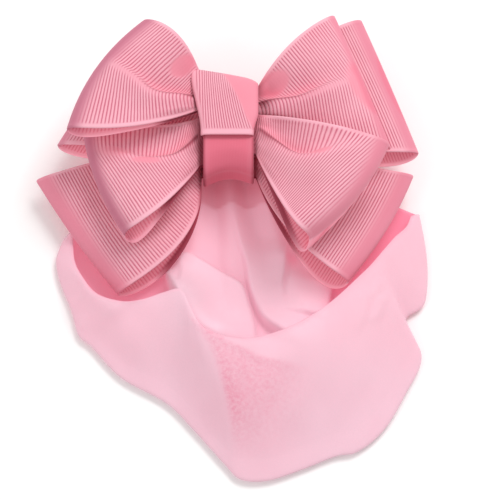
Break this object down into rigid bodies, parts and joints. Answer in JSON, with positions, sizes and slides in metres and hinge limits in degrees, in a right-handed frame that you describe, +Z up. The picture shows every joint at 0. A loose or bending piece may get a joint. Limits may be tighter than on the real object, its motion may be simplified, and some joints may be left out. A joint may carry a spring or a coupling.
{
  "type": "ribbon bow hair clip with a chiffon snood bag",
  "caption": "Layered pink grosgrain ribbon bow on a hair clip with a sheer pale pink chiffon snood bag, lying face up.",
  "frame": {"origin": "middle of the clip's flat underside, below the waist of the bow, on the surface that the part lies on", "axes": "+Z up, out of the front of the bow; +X along the clip to the right seen from the front; the bag runs toward -Y"},
  "size_m": [0.108, 0.1304, 0.0327],
  "materials": {
    "grosgrain": "matte ribbed ribbon",
    "chiffon": "sheer, soft",
    "clip_steel": "satin"
  },
  "bodies": {
    "root": {"barrette_clip": "clip_steel", "snood_bag": "chiffon", "upper_front_left_loop": "grosgrain", "lower_front_right_loop": "grosgrain", "lower_front_left_loop": "grosgrain", "upper_front_right_loop": "grosgrain", "upper_back_left_loop": "grosgrain", "upper_back_right_loop": "grosgrain", "lower_back_left_loop": "grosgrain", "lower_back_right_loop": "grosgrain", "knot_band": "grosgrain", "knot_cover": "grosgrain"}
  },
  "joints": []
}
